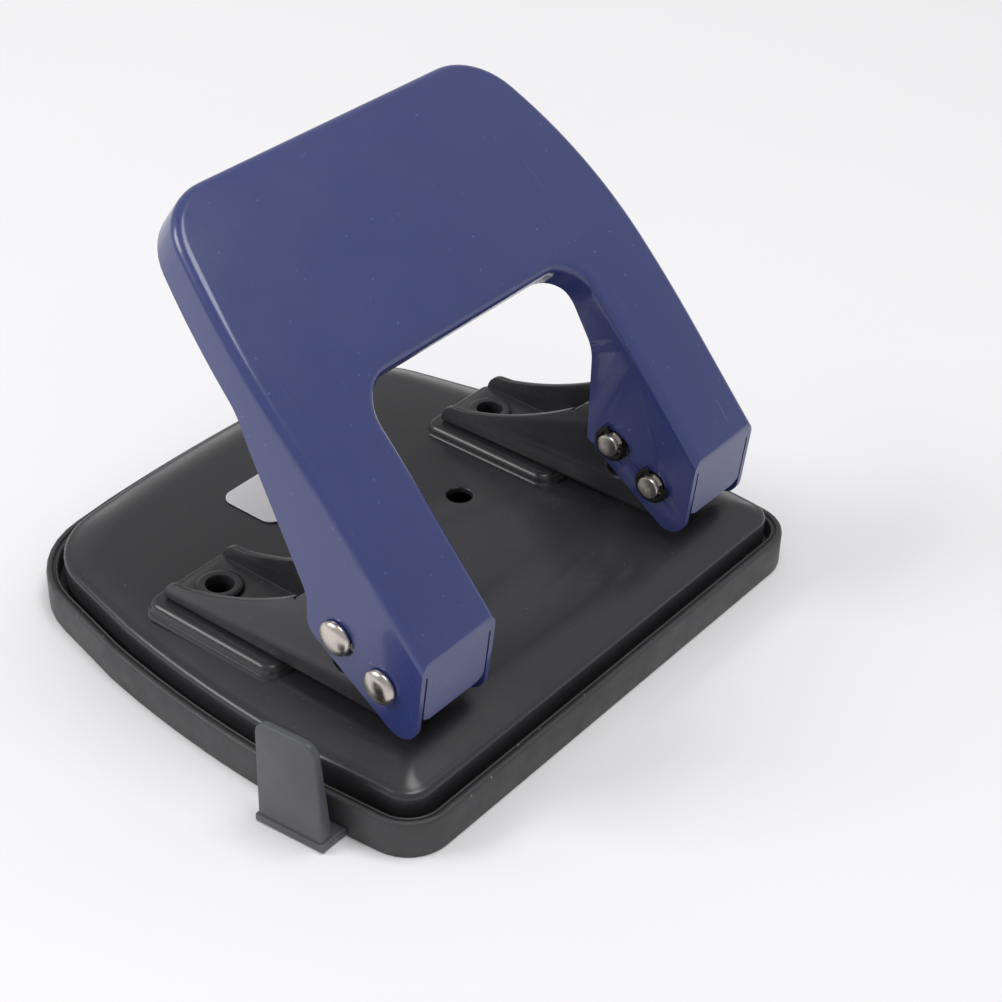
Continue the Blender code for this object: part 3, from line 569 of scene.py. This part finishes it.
bright_steel = Finish("ground_steel", (0.45, 0.45, 0.46), 0.3, 1)
bright_steel.tint((0.3, 0.3, 0.31), bright_steel.between(bright_steel.noise(90, 4), 0.4, 0.75, 0, 0.6))
bright_steel.gloss(bright_steel.between(bright_steel.noise(300, 3, (1, 1, 12)), 0.3, 0.7, 0.22, 0.4))
bright_steel.relief(bright_steel.noise(200, 3, (1, 1, 20)), 0.02 * MM, 0.4)
for hand, side in SIDES:
    middle = side * unit_x
    for end, y in EYELET_PLACES.items():
        node = end + "_eyelet_" + hand
        low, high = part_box(node)
        outer = (high.x - low.x) / 2
        tube, bore = 3.1 * MM, 2.6 * MM
        profile = [(bore, low.z + 0.3 * MM), (bore + 0.2 * MM, low.z), (outer, low.z),
                   (outer, low.z + 0.5 * MM), (tube, low.z + 0.5 * MM), (tube, high.z - 0.5 * MM),
                   (outer, high.z - 0.5 * MM), (outer - 0.06 * MM, high.z - 0.25 * MM),
                   (outer - 0.35 * MM, high.z - 0.05 * MM), (outer - 0.8 * MM, high.z),
                   (bore + 0.6 * MM, high.z), (bore + 0.2 * MM, high.z - 0.12 * MM),
                   (bore, high.z - 0.45 * MM)]
        profile.append(profile[0])
        rivet = turned("rivet_" + node, profile, "Z", (middle, y, 0))
        fit_to(rivet, grey_paint.material, "frame", [node])
    low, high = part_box("die_" + hand)
    outer = (high.x - low.x) / 2
    profile = [(HOLE_RADIUS, low.z), (outer - 0.3 * MM, low.z), (outer, low.z + 0.3 * MM),
               (outer, high.z - 0.3 * MM), (outer - 0.3 * MM, high.z), (HOLE_RADIUS, high.z)]
    profile.append(profile[0])
    ring = turned("die_ring_" + hand, profile, "Z", (middle, punch_y, 0))
    fit_to(ring, bright_steel.material, "frame", ["die_" + hand])
    low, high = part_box("punch_" + hand)
    head, rod = (high.x - low.x) / 2, 3 * MM
    shoulder = DRIVE.y - 3 * MM
    profile = [(0.01 * MM, low.z + 1.4 * MM), (1.6 * MM, low.z + 0.8 * MM), (rod - 0.05 * MM, low.z),
               (rod, low.z + 0.1 * MM), (rod, shoulder), (head - 0.2 * MM, shoulder),
               (head, shoulder + 0.2 * MM), (head, high.z - 0.7 * MM), (head - 0.2 * MM, high.z - 0.2 * MM),
               (head - 0.7 * MM, high.z), (0.01 * MM, high.z)]
    profile.append(profile[0])
    stem = turned("punch_rod_" + hand, profile, "Z", (middle, punch_y, 0))
    combine(stem, "DIFFERENCE", drill(PIN_HOLE, "X", (middle, *DRIVE), 30 * MM))
    fit_to(stem, bright_steel.material, hand + "_punch", ["punch_" + hand])

# ---------------------------------------------------------------- springs
# Compression springs in 0.8 mm music wire, one round each punch, that lift the handle back up.
# They are coiled from one length of wire with open ends, blackened by oil.
SPRING_WIRE = 0.8 * MM
SPRING_TURNS = 4.5
oiled_wire = Finish("oiled_wire", (0.32, 0.31, 0.3), 0.32, 1)
oiled_wire.tint((0.16, 0.15, 0.14), oiled_wire.between(oiled_wire.noise(240, 3), 0.4, 0.7, 0, 0.7))
oiled_wire.gloss(oiled_wire.between(oiled_wire.noise(500, 2), 0.3, 0.7, 0.24, 0.42))
for hand, side in SIDES:
    low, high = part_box("spring_" + hand)
    coil_radius = (high.x - low.x - SPRING_WIRE) / 2
    rise = high.z - low.z - SPRING_WIRE
    bpy.ops.object.select_all(action="DESELECT")
    bpy.ops.mesh.primitive_circle_add(vertices=12, radius=SPRING_WIRE / 2, location=(coil_radius, 0, 0),
                                      rotation=(math.pi / 2, 0, 0), fill_type="NGON")
    coil = bpy.context.object
    coil.name = "coil_spring_" + hand
    bpy.ops.object.transform_apply(location=True, rotation=True)
    screw = coil.modifiers.new("Coil", "SCREW")
    screw.angle = 2 * math.pi * SPRING_TURNS
    screw.screw_offset = rise
    screw.steps = screw.render_steps = 150
    screw.use_merge_vertices = False
    bpy.ops.object.modifier_apply(modifier=screw.name)
    bpy.ops.object.mode_set(mode="EDIT")
    bpy.ops.mesh.select_all(action="SELECT")
    bpy.ops.mesh.remove_doubles(threshold=0.001 * MM)
    bpy.ops.mesh.select_all(action="DESELECT")
    bpy.ops.mesh.select_non_manifold()
    bpy.ops.mesh.edge_face_add()
    bpy.ops.mesh.select_all(action="SELECT")
    bpy.ops.transform.translate(value=(side * unit_x, punch_y, low.z + SPRING_WIRE / 2))
    recalculated(coil)
    fit_to(coil, oiled_wire.material, "frame", ["spring_" + hand])
    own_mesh(coil)

# ---------------------------------------------------------------- handle
# One pressing in 1.1 mm steel sheet, sprayed glossy blue: a wide grip with rolled edges and two legs.
# Each leg's skin folds down in front of its punch unit, between two flanges that carry the pins.
HANDLE_SHEET = 1.1 * MM
ROLLED_EDGE = 2 * MM
LEG_ANGLE = math.radians(48.7)
GRIP_ANGLE = math.radians(35.3)
GRIP_BEND_RADIUS = 257 * MM
LEG_STRAIGHT = 22 * MM
LEG_HALF_WIDTH = 9.7 * MM
HANDLE_LENGTH = 90 * MM
SIDE_TAPER_START = 42.8 * MM
SIDE_TAPER_END = 80 * MM
SIDE_TAPER_RADIUS = 136 * MM
GRIP_CORNER_RADIUS = 13.4 * MM
CUTOUT_END = 45.3 * MM
CUTOUT_RADIUS = 8 * MM
FOLD = Vector((punch_y - 19.4 * MM, SEAT_TOP + 18.5 * MM))
FLAP_LENGTH = 13.9 * MM
FLAP_LEAN = 0.1
HEEL = Vector((punch_y + 6.9 * MM, PIVOT.y + 4 * MM))
FOOT_SLOPE = math.tan(math.radians(34))
FOOT_RADIUS = 4 * MM
BEND_STEP = 3 * MM
BLOCK_DEPTH = 32 * MM


def inset(points, distance):
    """Anticlockwise outline moved inwards, its corners kept."""
    moved = []
    for i, here in enumerate(points):
        here = Vector(here)
        before = (here - Vector(points[i - 1])).normalized()
        after = (Vector(points[(i + 1) % len(points)]) - here).normalized()
        middle = Vector((-before.y - after.y, before.x + after.x)).normalized()
        stretch = max(0.3, middle.dot(Vector((-before.y, before.x))))
        moved.append(tuple(here + middle * (distance / stretch)))
    return moved


def handle_plan():
    """The pressing laid flat: x across, y up from the fold, open between the legs."""
    outer, inner = unit_x + LEG_HALF_WIDTH, unit_x - LEG_HALF_WIDTH
    foot = -40 * MM
    lean = math.asin((SIDE_TAPER_END - SIDE_TAPER_START) / SIDE_TAPER_RADIUS)
    right = [(outer, foot)]
    for k in range(13):
        turn = lean * k / 12
        x = outer - SIDE_TAPER_RADIUS * (1 - math.cos(turn))
        right.append((x, SIDE_TAPER_START + SIDE_TAPER_RADIUS * math.sin(turn)))
    corner_x = right[-1][0] - (HANDLE_LENGTH - SIDE_TAPER_END) * math.tan(lean)
    right.append((corner_x, HANDLE_LENGTH, GRIP_CORNER_RADIUS))
    left = [(-corner[0],) + corner[1:] for corner in reversed(right)]
    cutout = [(-inner, foot), (-inner, CUTOUT_END, CUTOUT_RADIUS)]
    cutout += [(inner, CUTOUT_END, CUTOUT_RADIUS), (inner, foot)]
    return rounded(right + left + cutout, 10)


def skin_point(s, depth):
    """(y, z) at a distance up the skin from the fold and a depth under it."""
    straight = min(s, LEG_STRAIGHT)
    on_arc = min(max(s - LEG_STRAIGHT, 0), (LEG_ANGLE - GRIP_ANGLE) * GRIP_BEND_RADIUS)
    slope = LEG_ANGLE - on_arc / GRIP_BEND_RADIUS
    past = max(s - LEG_STRAIGHT - on_arc, 0)
    y = FOLD.x + straight * math.cos(LEG_ANGLE) + past * math.cos(slope)
    z = FOLD.y + straight * math.sin(LEG_ANGLE) + past * math.sin(slope)
    y += GRIP_BEND_RADIUS * (math.sin(LEG_ANGLE) - math.sin(slope))
    z += GRIP_BEND_RADIUS * (math.cos(slope) - math.cos(LEG_ANGLE))
    return y + depth * math.sin(slope), z - depth * math.cos(slope)


def bent_block(name, sheet):
    """Deep block under the skin, drawn flat ring by ring, cut across and laid on the grip's curve."""
    plan = handle_plan()
    roll = ROLLED_EDGE - sheet
    rings = [flat(inset(plan, sheet), -BLOCK_DEPTH)]
    for k in range(9):
        turn = math.pi / 2 * k / 8
        across, down = sheet + roll * (1 - math.cos(turn)), sheet + roll * (1 - math.sin(turn))
        rings.append(flat(inset(plan, across), -down))
    solid = lofted(name, rings)
    open_piece(solid)
    for k in range(22):
        line = LEG_STRAIGHT + BEND_STEP * k
        bpy.ops.mesh.select_all(action="SELECT")
        bpy.ops.mesh.bisect(plane_co=(0, line, 0), plane_no=(0, 1, 0), threshold=0.001 * MM)
    mesh = bmesh.from_edit_mesh(solid.data)
    for corner in mesh.verts:
        corner.co = (corner.co.x, *skin_point(corner.co.y, -corner.co.z))
    bmesh.update_edit_mesh(solid.data)
    return recalculated(solid)


def front_line(z):
    return FOLD.x + FLAP_LEAN * (FOLD.y - z)


def handle_side():
    """Side view the block is trimmed to: fold, flap, foot below the pivot, edge of the flanges."""
    toe_z = HEEL.y - FOOT_SLOPE * (HEEL.x - front_line(HEEL.y - 16 * MM))
    corners = [skin_point(LEG_STRAIGHT, -1.5 * MM), (*FOLD, 2.2 * MM)]
    corners.append((front_line(toe_z), toe_z, FOOT_RADIUS))
    corners += [(*HEEL, FOOT_RADIUS), (HEEL.x, HEEL.y + 7.2 * MM, 8 * MM)]
    s = LEG_STRAIGHT + 31 * MM
    corners.append((*skin_point(s, 8 * MM), 12 * MM))
    while s < HANDLE_LENGTH + 8 * MM:
        s += 5 * MM
        corners.append(skin_point(s, 8 * MM))
    corners += [skin_point(s, -20 * MM), skin_point(LEG_STRAIGHT + 10 * MM, -20 * MM)]
    return rounded(corners, 12)


def finger_opening_side():
    """Side view of what is trimmed off the flanges and the lip round the finger opening."""
    bend = CUTOUT_END - 4 * MM
    heel_y = HEEL.x - 0.6 * MM
    corners = [(heel_y, 0), (heel_y, PIVOT.y + 24 * MM, 9 * MM), (*skin_point(bend, 6.5 * MM), 5 * MM)]
    for k in range(1, 5):
        corners.append(skin_point(bend + 2 * BEND_STEP * k, 6.5 * MM))
    return rounded(corners + [(125 * MM, 100 * MM), (125 * MM, 0)], 12)


handle = bent_block("handle_pressing", 0)
combine(handle, "INTERSECT", pushed("side", on_side(handle_side(), -90 * MM), (180 * MM, 0, 0)))
hollow = bent_block("hollow", HANDLE_SHEET)
flap_back = [(front_line(-50 * MM) + HANDLE_SHEET, -50 * MM), (200 * MM, -50 * MM),
             (200 * MM, 200 * MM), (front_line(200 * MM) + HANDLE_SHEET, 200 * MM)]
combine(hollow, "INTERSECT", pushed("front", on_side(flap_back, -80 * MM), (160 * MM, 0, 0)))
combine(handle, "DIFFERENCE", hollow)
flange_reach = unit_x - LEG_HALF_WIDTH + HANDLE_SHEET + 0.3 * MM
opening = on_side(finger_opening_side(), -flange_reach)
combine(handle, "DIFFERENCE", pushed("opening", opening, (2 * flange_reach, 0, 0)))
flap_bottom = FOLD.y - FLAP_LENGTH
FLAP_SLIT = 0.45 * MM
for hand, side in SIDES:
    inside = LEG_HALF_WIDTH - HANDLE_SHEET
    corner = 2.2 * MM
    chamfer = corner * 0.3
    under_flap = [(-inside, 0), (inside, 0), (inside, flap_bottom + corner),
                  (inside - chamfer, flap_bottom + chamfer), (inside - corner, flap_bottom),
                  (corner - inside, flap_bottom), (chamfer - inside, flap_bottom + chamfer),
                  (-inside, flap_bottom + corner)]
    away = [(side * unit_x + x, FOLD.x - 5 * MM, z) for x, z in under_flap]
    combine(handle, "DIFFERENCE", pushed("flap_end", away, (0, PIVOT.x - FOLD.x, 0)))
    for edge in (-1, 1):
        x = side * unit_x + edge * (inside - FLAP_SLIT / 2)
        combine(handle, "DIFFERENCE", block((x - FLAP_SLIT / 2, FOLD.x - 5 * MM, flap_bottom - 1 * MM),
                                            (x + FLAP_SLIT / 2, PIVOT.x - 5 * MM, FOLD.y - 3.2 * MM)))
combine(handle, "DIFFERENCE", drill(PIN_HOLE, "X", (0, *PIVOT), 120 * MM))
leaning = (DRIVE - PIVOT).normalized()
leg_slot = round_ended_slot(PIVOT + leaning * 10 * MM, DRIVE, PIN_HOLE)
combine(handle, "DIFFERENCE", pushed("slot", on_side(leg_slot, -60 * MM), (120 * MM, 0, 0)))
soften(handle, 0.18 * MM, 2, 40)

blue_paint = sprayed("blue_paint", (0.03, 0.043, 0.165), (0.041, 0.055, 0.19), 0.3)
scratches = blue_paint.times(blue_paint.between(blue_paint.noise(70, 2, (14, 0.6, 0.6), 1.2), 0.71, 0.73),
                             blue_paint.between(blue_paint.noise(16, 1), 0.5, 0.6))
blue_paint.tint((0.2, 0.22, 0.38), blue_paint.between(scratches, 0, 1, 0, 0.35))
blue_paint.shader.inputs["Coat Weight"].default_value = 0.5
blue_paint.shader.inputs["Coat Roughness"].default_value = 0.1
fit_to(handle, blue_paint.material, "lever", ["handle"], 50)

# ---------------------------------------------------------------- pins and their clips
# Four turned pins in nickel-plated steel. Two are the handle's hinge and two drive the punches.
# Each is pushed in from outside up to its domed head, and a black spring clip holds its far end.
nickel = Finish("polished_nickel", (0.64, 0.585, 0.535), 0.2, 1)
nickel.tint((0.36, 0.33, 0.3), nickel.between(nickel.noise(160, 4), 0.4, 0.8, 0, 0.5))
nickel.gloss(nickel.between(nickel.noise(500, 3), 0.3, 0.7, 0.2, 0.36))
nickel.relief(nickel.noise(300, 3), 0.02 * MM, 0.25)
black_steel = Finish("blackened_spring_steel", (0.05, 0.045, 0.045), 0.38, 1)
black_steel.tint((0.16, 0.13, 0.11), black_steel.between(black_steel.noise(260, 4), 0.5, 0.8, 0, 0.6))
black_steel.gloss(black_steel.between(black_steel.noise(400, 2), 0.3, 0.7, 0.3, 0.48))
PIN_RADIUS = 2.3 * MM
PIN_HEAD_RADIUS = 3.4 * MM
PIN_HEAD_HEIGHT = 1.6 * MM
PIN_GROOVE = 0.5 * MM
CLIP_THICKNESS = 0.7 * MM
CLIP_OUTER_RADIUS = 3.7 * MM
PIN_TIP = 1.3 * MM


def clip_outline(centre):
    """E-shaped ring round a pin's groove, its mouth turned up and back."""
    bore = PIN_RADIUS - PIN_GROOVE + 0.1 * MM
    mouth, facing = math.radians(50), math.radians(125)
    arc = 2 * math.pi - 2 * mouth
    points = []
    for k in range(49):
        turn = facing + mouth + arc * k / 48
        across = centre.x + CLIP_OUTER_RADIUS * math.cos(turn)
        points.append((across, centre.y + CLIP_OUTER_RADIUS * math.sin(turn)))
    for k in range(48, -1, -1):
        turn = facing + mouth + arc * k / 48
        share = (k % 16) / 16
        lobe = bore + 0.6 * MM * (abs(share - 0.5) < 0.35)
        points.append((centre.x + lobe * math.cos(turn), centre.y + lobe * math.sin(turn)))
    return points


for hand, side in SIDES:
    for joint, centre, body in (("pivot", PIVOT, "frame"), ("drive", DRIVE, hand + "_punch")):
        face = LEG_HALF_WIDTH + 0.3 * MM
        neck = PIN_RADIUS - PIN_GROOVE
        profile = [(0.01 * MM, face + PIN_HEAD_HEIGHT)]
        for k in range(1, 9):
            turn = math.pi / 2 * k / 8
            dome = 0.3 * MM + (PIN_HEAD_HEIGHT - 0.3 * MM) * math.cos(turn)
            profile.append((PIN_HEAD_RADIUS * math.sin(turn), face + dome))
        end = face + CLIP_THICKNESS + PIN_TIP
        groove_end = -face - CLIP_THICKNESS - 0.3 * MM
        profile += [(PIN_HEAD_RADIUS, face + 0.05 * MM), (PIN_HEAD_RADIUS - 0.1 * MM, face),
                    (PIN_RADIUS, face), (PIN_RADIUS, -face), (neck, -face), (neck, groove_end),
                    (PIN_RADIUS, groove_end),
                    (PIN_RADIUS, 0.35 * MM - end), (PIN_RADIUS - 0.1 * MM, 0.12 * MM - end),
                    (PIN_RADIUS - 0.35 * MM, -end), (0.01 * MM, -end)]
        profile.append(profile[0])
        placed = [(radius, side * (unit_x + place)) for radius, place in profile]
        pin = turned(joint + "_pin_turned_" + hand, placed, "X", (0, *centre))
        fit_to(pin, nickel.material, body, [joint + "_pin_" + hand], 30)
        low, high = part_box(joint + "_clip_" + hand)
        name = joint + "_retaining_clip_" + hand
        ring = pushed(name, on_side(clip_outline(centre), low.x), (high.x - low.x, 0, 0))
        soften(ring, 0.12 * MM, 2)
        fit_to(ring, black_steel.material, body, [joint + "_clip_" + hand], 35)

# ---------------------------------------------------------------- paper gauge
# A grey moulded bar that slides in a channel under the tray, with an upright stop for the paper's edge.
# The stop stands a little askew on its bar, with a sloped back and a rounded, chamfered top.
GAUGE_FOOT = 0.4 * MM
TAB_THICKNESS = 2.8 * MM
TAB_TOP_THICKNESS = 1.5 * MM
TAB_TAPER = 1.3 * MM
TAB_CORNER_RADIUS = 2.5 * MM
TAB_SKEW = math.radians(5)
tab_outer = gauge_low.x + GAUGE_FOOT
tab_inner = tab_outer + TAB_THICKNESS
bar = block((tab_outer + GAUGE_FOOT, gauge_low.y, gauge_low.z), (gauge_high.x, gauge_high.y, bar_top))
bar.name = "gauge_moulding"
soften(recalculated(bar), 0.25 * MM, 2)
front, back, top = gauge_low.y + GAUGE_FOOT, gauge_high.y - GAUGE_FOOT, gauge_high.z
tab_front = [(front, gauge_low.z + GAUGE_FOOT), (back, gauge_low.z + GAUGE_FOOT)]
tab_front += [(back, top, TAB_CORNER_RADIUS), (front + TAB_TAPER, top, TAB_CORNER_RADIUS)]
tab = pushed("tab", on_side(rounded(tab_front), tab_outer - 1 * MM), (TAB_THICKNESS + 2 * MM, 0, 0))
past_top = top + 0.3 * MM
lean = [(tab_outer, 0), (tab_inner, 0), (tab_inner, 5 * MM), (tab_outer + TAB_TOP_THICKNESS, past_top)]
lean.append((tab_outer, past_top))
combine(tab, "INTERSECT", pushed("lean", [(x, front - 5 * MM, z) for x, z in lean], (0, 30 * MM, 0)))
soften(tab, 0.35 * MM, 3)
foot = block(gauge_low, (tab_inner + 2 * GAUGE_FOOT, gauge_high.y, bar_top))
soften(foot, 0.25 * MM, 2)
combine(tab, "UNION", foot)
open_piece(tab)
bpy.ops.mesh.select_all(action="SELECT")
bpy.ops.transform.rotate(value=-TAB_SKEW, orient_axis="Z", orient_type="GLOBAL",
                         center_override=((tab_outer + tab_inner) / 2, (front + back) / 2, 0))
combine(bar, "UNION", recalculated(tab))
grey_plastic = Finish("grey_moulding", (0.075, 0.077, 0.086), 0.38)
grey_plastic.tint((0.11, 0.112, 0.122), grey_plastic.between(grey_plastic.noise(70, 4), 0.35, 0.75, 0, 0.6))
marks = grey_plastic.between(grey_plastic.noise(260, 2, (1, 0.25, 1)), 0.72, 0.76)
grey_plastic.tint((0.2, 0.2, 0.21), grey_plastic.between(marks, 0, 1, 0, 0.5))
grey_plastic.gloss(grey_plastic.between(grey_plastic.noise(220, 3), 0.3, 0.7, 0.38, 0.52))
grey_plastic.relief(grey_plastic.noise(1800, 2), 0.03 * MM, 0.3)
grey_plastic.relief(marks, 0.06 * MM, 0.4)
fit_to(bar, grey_plastic.material, "gauge", ["paper_gauge"])

# ---------------------------------------------------------------- table and light
# A seamless sheet of white paper under the punch, in a pale room. One wide soft lamp hangs above it
# and a second stands to its left and behind it.
bpy.ops.object.select_all(action="DESELECT")
bpy.ops.mesh.primitive_plane_add(size=6)
floor = bpy.context.object
floor.name = "paper_floor"
paper = Finish("white_paper", (0.885, 0.875, 0.89), 0.7)
paper.tint((0.87, 0.86, 0.875), paper.between(paper.noise(6, 3), 0.35, 0.7))
paper.relief(paper.noise(400, 3), 0.1 * MM, 0.1)
floor.data.materials.append(paper.material)


def lamp(name, place, aim, size, power):
    bpy.ops.object.select_all(action="DESELECT")
    turn = (Vector(aim) - Vector(place)).to_track_quat("-Z", "Y").to_euler()
    bpy.ops.object.light_add(type="AREA", location=place, rotation=turn)
    light = bpy.context.object
    light.name = name
    light.data.shape = "RECTANGLE"
    light.data.size, light.data.size_y = size
    light.data.energy = power
    return light


world = bpy.data.worlds.new("pale_room")
bpy.context.scene.world = world
world.use_nodes = True
world.node_tree.nodes["Background"].inputs["Color"].default_value = (1, 1, 1, 1)
world.node_tree.nodes["Background"].inputs["Strength"].default_value = 0.47
lamp("window_lamp", (-0.75, 0.75, 0.8), (0, 0, 0.03), (0.6, 0.5), 7)
lamp("top_lamp", (0.1, -0.3, 1.3), (0, 0, 0.03), (0.8, 0.6), 8)
bpy.context.scene.view_settings.view_transform = "Standard"

# ---------------------------------------------------------------- camera
# Seen from above the left front corner, close enough that the far side looks smaller.
CAMERA_PLACE = Vector((-0.264987, -0.215394, 0.265864))
CAMERA_AZIMUTH, CAMERA_ELEVATION, CAMERA_ROLL = (math.radians(a) for a in (52.380, 35.019, 1.793))
heading = Vector((math.sin(CAMERA_AZIMUTH) * math.cos(CAMERA_ELEVATION),
                  math.cos(CAMERA_AZIMUTH) * math.cos(CAMERA_ELEVATION), -math.sin(CAMERA_ELEVATION)))
level = heading.cross(Vector((0, 0, 1))).normalized()
upright = level.cross(heading)
right = math.cos(CAMERA_ROLL) * level + math.sin(CAMERA_ROLL) * upright
upward = math.cos(CAMERA_ROLL) * upright - math.sin(CAMERA_ROLL) * level
bpy.ops.object.camera_add(location=CAMERA_PLACE)
camera = bpy.context.object
turned_camera = Matrix((right, upward, -heading)).transposed().to_4x4()
camera.matrix_world = Matrix.Translation(CAMERA_PLACE) @ turned_camera
camera.data.sensor_width = 36
camera.data.lens = 2190 * 36 / 1002
bpy.context.scene.camera = camera
